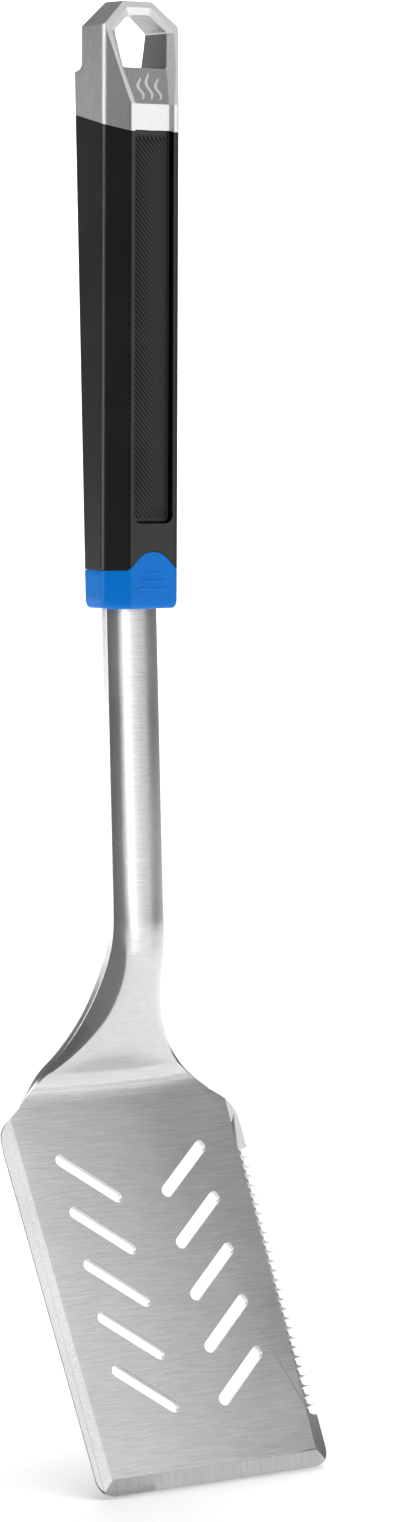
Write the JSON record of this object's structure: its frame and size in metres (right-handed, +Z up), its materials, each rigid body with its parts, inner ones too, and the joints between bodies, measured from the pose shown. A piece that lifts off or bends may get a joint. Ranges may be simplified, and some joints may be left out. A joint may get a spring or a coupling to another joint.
{
  "type": "grill spatula",
  "caption": "Long-handled slotted grill turner: steel blade with ground and serrated edges, offset neck, channel shaft, faceted handle with ribbed insert, collar and cast hanging eye",
  "frame": {"origin": "centre of the hanging eye in the end cap", "axes": "X lateral (serrated edge at +X), -Y front (food side of the blade), +Z up towards the end cap; millimetres in the source, metres in the row"},
  "size_m": [0.0948, 0.0638, 0.4702],
  "materials": {
    "end_cap": "satin cast, brushed",
    "handle_sleeve": "satin moulded",
    "grip_insert": "matte, ribbed",
    "collar": "glossy blue",
    "blade_and_shaft": "fine brushed blade, polished shaft",
    "tang_block": "moulded",
    "tang_screws": "zinc plated",
    "tang_washers": "zinc plated",
    "cap_screw": "zinc plated",
    "cap_washer": "zinc plated"
  },
  "bodies": {
    "root": {"end_cap": "end_cap", "handle_sleeve": "handle_sleeve", "grip_insert": "grip_insert", "collar": "collar", "blade_and_shaft": "blade_and_shaft", "tang_block": "tang_block", "tang_screws": "tang_screws", "tang_washers": "tang_washers", "cap_screw": "cap_screw", "cap_washer": "cap_washer"}
  },
  "joints": []
}
